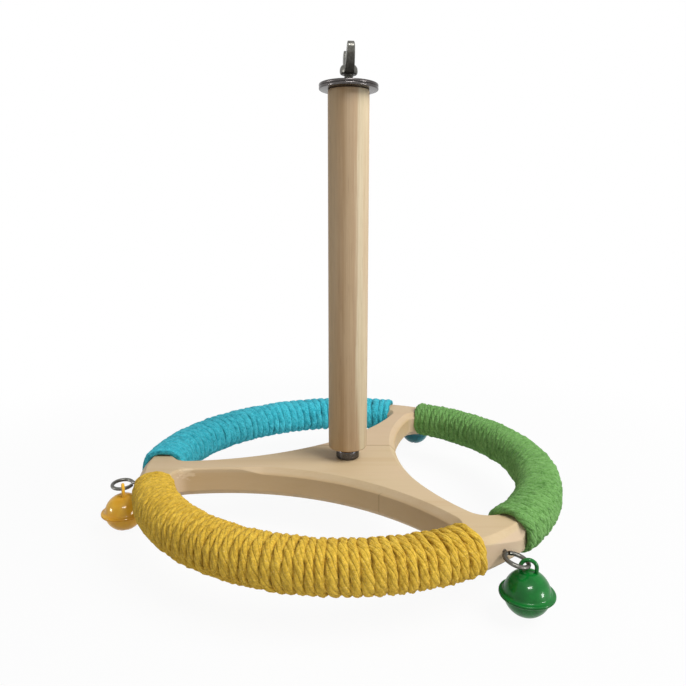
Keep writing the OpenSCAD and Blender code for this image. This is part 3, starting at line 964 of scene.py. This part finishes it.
def nut_wing(foot, height):
    """One wing of the nut along +X: an outline with a round tip, thicker at its foot."""
    span = 13 * MM
    root = 1.6 * MM
    tip_r = 3.2 * MM
    tip_turn = math.radians(150)
    tip_steps = 10
    tip_z = foot + height - tip_r
    base_t = 5.5 * MM
    tip_t = 3.5 * MM
    wing = bmesh.new()
    first = wing.verts.new((root, 0, foot + 0.4 * MM))
    vert = line(wing, first, (4.6 * MM, 0, foot + 0.5 * MM))
    vert = line(wing, vert, (span - 1.2 * MM, 0, foot + height - 5.6 * MM))
    vert = line(wing, vert, (span, 0, tip_z))
    vert = arc(wing, vert, (span - tip_r, 0, tip_z), -SIDEWAYS, tip_turn, tip_steps)
    vert = line(wing, vert, (3.6 * MM, 0, foot + NUT_BOSS_H))
    vert = line(wing, vert, (root, 0, foot + NUT_BOSS_H - 0.5 * MM))
    wing.edges.new((vert, first))
    bmesh.ops.contextual_create(wing, geom=wing.edges[:])
    raised = bmesh.ops.extrude_face_region(wing, geom=wing.faces[:], use_keep_orig=True)["geom"]
    for v in wing.verts:
        share = (v.co.z - foot) / height
        v.co.y = -(base_t + (tip_t - base_t) * share) / 2
    for v in verts_in(raised):
        v.co.y = -v.co.y
    bmesh.ops.recalc_face_normals(wing, faces=wing.faces[:])
    return wing


def wing_nut(material):
    """Cast nut: a bulged boss and two tapered wings, melted into one skin."""
    foot = nut_low.z
    boss_r = nut_high.x - 0.15 * MM
    parked = math.radians(6 - 90)
    skin_grain = 0.28 * MM
    drill_len = 60 * MM
    bulge = ((0.86, 0.0), (0.97, 0.14), (1.0, 0.38), (0.96, 0.66), (0.82, 0.9), (0.62, 1.0))
    bm = bmesh.new()
    vert = bm.verts.new((0, 0, foot))
    for share, level in bulge:
        vert = line(bm, vert, (boss_r * share, 0, foot + NUT_BOSS_H * level))
    line(bm, vert, (0, 0, foot + NUT_BOSS_H))
    spun(bm, NARROW_STEPS)
    for side in (0, math.pi):
        wing = nut_wing(foot, nut_high.z - foot)
        moved(wing, Matrix.Rotation(parked + side, 4, "Z"))
        bm.from_mesh(mesh_of(wing, "wing"))
    obj = new_object("nut_blank", mesh_of(bm, "nut_blank"))
    melt = obj.modifiers.new("melt", "REMESH")
    melt.mode = "VOXEL"
    melt.voxel_size = skin_grain
    relax = obj.modifiers.new("relax", "SMOOTH")
    relax.factor = 0.5
    relax.iterations = 7
    cast = baked(obj)
    drill = rod(NUT_HOLE_R, drill_len, NARROW_STEPS)
    mesh = cut_out(cast, [mesh_of(drill, "drill")])
    piece("wing_nut_cast", mesh, material, "nut", "zinc_steel", "wing_nut", sharp=50)


def post(material):
    """The dowel, with its two ends a little rounded."""
    soft = 0.9 * MM
    bm = bmesh.new()
    vert = bm.verts.new((0, 0, post_low.z))
    vert = line(bm, vert, (POST_R - soft, 0, post_low.z))
    vert = arc(bm, vert, (POST_R - soft, 0, post_low.z + soft), SIDEWAYS, -QUARTER_TURN, ROUND_STEPS)
    vert = line(bm, vert, (POST_R, 0, post_high.z - soft))
    vert = arc(bm, vert, (POST_R - soft, 0, post_high.z - soft), SIDEWAYS, -QUARTER_TURN, ROUND_STEPS)
    line(bm, vert, (0, 0, post_high.z))
    spun(bm, POST_STEPS)
    piece("dowel", mesh_of(bm, "dowel"), material, "post", "post_wood", "post")


def repaint(material, *nodes):
    """Gives solids that keep their own shape a finish."""
    for node in nodes:
        slots = frame["nodes"][node].data.materials
        slots.clear()
        slots.append(material)


def set_camera():
    """The photograph's camera, from its solved place, turns and lens."""
    data = bpy.data.cameras.new("camera")
    data.sensor_width = SENSOR_MM
    data.lens = FOCAL_PX / FRAME_PX * SENSOR_MM
    data.shift_x = (FRAME_PX / 2 - CENTRE_X_PX) / FRAME_PX
    data.shift_y = (CENTRE_Y_PX - FRAME_PX / 2) / FRAME_PX
    data.clip_start = CAMERA_NEAR
    flat = math.cos(CAMERA_PITCH)
    ahead = Vector((math.sin(CAMERA_YAW) * flat, math.cos(CAMERA_YAW) * flat, -math.sin(CAMERA_PITCH)))
    level = Vector((math.cos(CAMERA_YAW), -math.sin(CAMERA_YAW), 0))
    down = ahead.cross(level)
    right = level * math.cos(CAMERA_ROLL) + down * math.sin(CAMERA_ROLL)
    below = down * math.cos(CAMERA_ROLL) - level * math.sin(CAMERA_ROLL)
    turn = Matrix((right, -below, -ahead)).transposed().to_4x4()
    place = Vector((0, -math.cos(CAMERA_RISE), math.sin(CAMERA_RISE))) * CAMERA_DISTANCE
    place.z += CAMERA_AIM_Z
    camera = new_object("camera", data)
    camera.matrix_world = Matrix.Translation(place) @ turn
    bpy.context.scene.camera = camera


def lamp(name, place, size, watts, glint=False):
    """A soft lamp that looks at the object. A glint only shows in gloss, and the other lamps don't."""
    data = bpy.data.lights.new(name, "AREA")
    data.shape = "RECTANGLE"
    data.size, data.size_y = size
    data.energy = watts
    obj = new_object(name, data)
    obj.visible_glossy = glint
    obj.visible_diffuse = not glint
    aim = (Vector(LAMP_AIM) - Vector(place)).to_track_quat("-Z", "Y")
    obj.matrix_world = Matrix.Translation(place) @ aim.to_matrix().to_4x4()


def seen_white(tree):
    """1 for the rays that show the background: from the camera, and in gloss and glass."""
    path = tree.nodes.new("ShaderNodeLightPath")
    camera = Sock(tree, path.outputs["Is Camera Ray"])
    gloss = Sock(tree, path.outputs["Is Glossy Ray"])
    glass = Sock(tree, path.outputs["Is Transmission Ray"])
    return camera.math("MINIMUM", camera + gloss + glass, 1.0)


def set_world():
    """A world that looks white and gives a weak even light."""
    world = bpy.data.worlds.new("studio")
    world.use_nodes = True
    bpy.context.scene.world = world
    tree = world.node_tree
    background = tree.nodes["Background"]
    background.inputs["Color"].default_value = WHITE
    tree.links.new((seen_white(tree) * (1 - FILL) + FILL).socket, background.inputs["Strength"])
    bpy.context.scene.view_settings.view_transform = "Standard"


def set_floor():
    """A floor that looks white and keeps a little of the object's shadow."""
    bm = bmesh.new()
    bmesh.ops.create_grid(bm, x_segments=1, y_segments=1, size=FLOOR_SIZE)
    bmesh.ops.translate(bm, vec=(0, 0, cad_box[0][2] - FLOOR_GAP), verts=bm.verts[:])
    floor = new_object("floor", mesh_of(bm, "floor"))
    finish = Finish("floor", Base_Color=(0.7, 0.7, 0.7, 1), Roughness=0.9)
    tree = finish.tree
    far = finish.place.radius().above(*FLOOR_FADE)
    white = seen_white(tree) * (far * (1 - FLOOR_WHITE) + FLOOR_WHITE)
    glow = tree.nodes.new("ShaderNodeEmission")
    mix = tree.nodes.new("ShaderNodeMixShader")
    tree.links.new(white.socket, mix.inputs[0])
    tree.links.new(finish.shader.outputs[0], mix.inputs[1])
    tree.links.new(glow.outputs[0], mix.inputs[2])
    tree.links.new(mix.outputs[0], tree.nodes["Material Output"].inputs["Surface"])
    floor.data.materials.append(finish.material)


def set_lamps():
    lamp("key", (0.7, -0.35, 0.72), (0.8, 0.8), 15.8)
    lamp("side", (-0.8, -0.5, 0.25), (0.5, 0.5), 0.8)
    lamp("left", (-0.86, -0.26, -0.05), (0.12, 0.14), 2.6, glint=True)
    lamp("front", (0.1, -0.68, 0.55), (0.34, 0.15), 7.0, glint=True)
    lamp("right", (0.96, -0.58, -0.14), (0.24, 0.26), 7.0, glint=True)


set_camera()
set_world()
set_floor()
set_lamps()

steel = zinc_steel("zinc_steel", rgb(150, 146, 142), 0.2)
# Painted shade: dark_steel, plate_steel and collar_steel are darker copies of the same zinc steel, for the
# dim surroundings that the real plated parts reflect and, at the collar, the shade under the post.
dark_steel = zinc_steel("dark_steel", rgb(94, 93, 88), 0.28)
plate_steel = zinc_steel("plate_steel", rgb(80, 77, 76), 0.15)
collar_steel = zinc_steel("collar_steel", rgb(84, 84, 88), 0.15)
dyes = {
    "blue": rope_dye("blue", rgb(86, 220, 238), rgb(12, 150, 172), sheen=0.4, gap_shade=0.55),
    "yellow": rope_dye("yellow", rgb(242, 203, 78), rgb(188, 146, 41)),
    "green": rope_dye("green", rgb(130, 181, 104), rgb(80, 129, 59), gap_shade=0.15),
}
paints = {
    "blue": bell_paint("blue", rgb(16, 132, 144), rgb(10, 114, 126)),
    "yellow": bell_paint("yellow", rgb(254, 196, 52), rgb(246, 182, 40)),
    "green": bell_paint("green", rgb(13, 114, 41), rgb(10, 102, 37)),
}
post(post_wood())
wheel_board(board_wood())
for k, colour in enumerate(COLOURS):
    rope(k, dyes[colour])
    screw_eye(k, dark_steel)
    bell(colour, paints[colour])
    repaint(paints[colour], "bell_loop_" + colour)
    repaint(steel, "bell_pellet_" + colour)
washers(plate_steel)
threaded_bolt(dark_steel)
wing_nut(dark_steel)
collar(collar_steel)
repaint(steel, "pivot_sleeve", "pivot_screw", "thrust_washer")
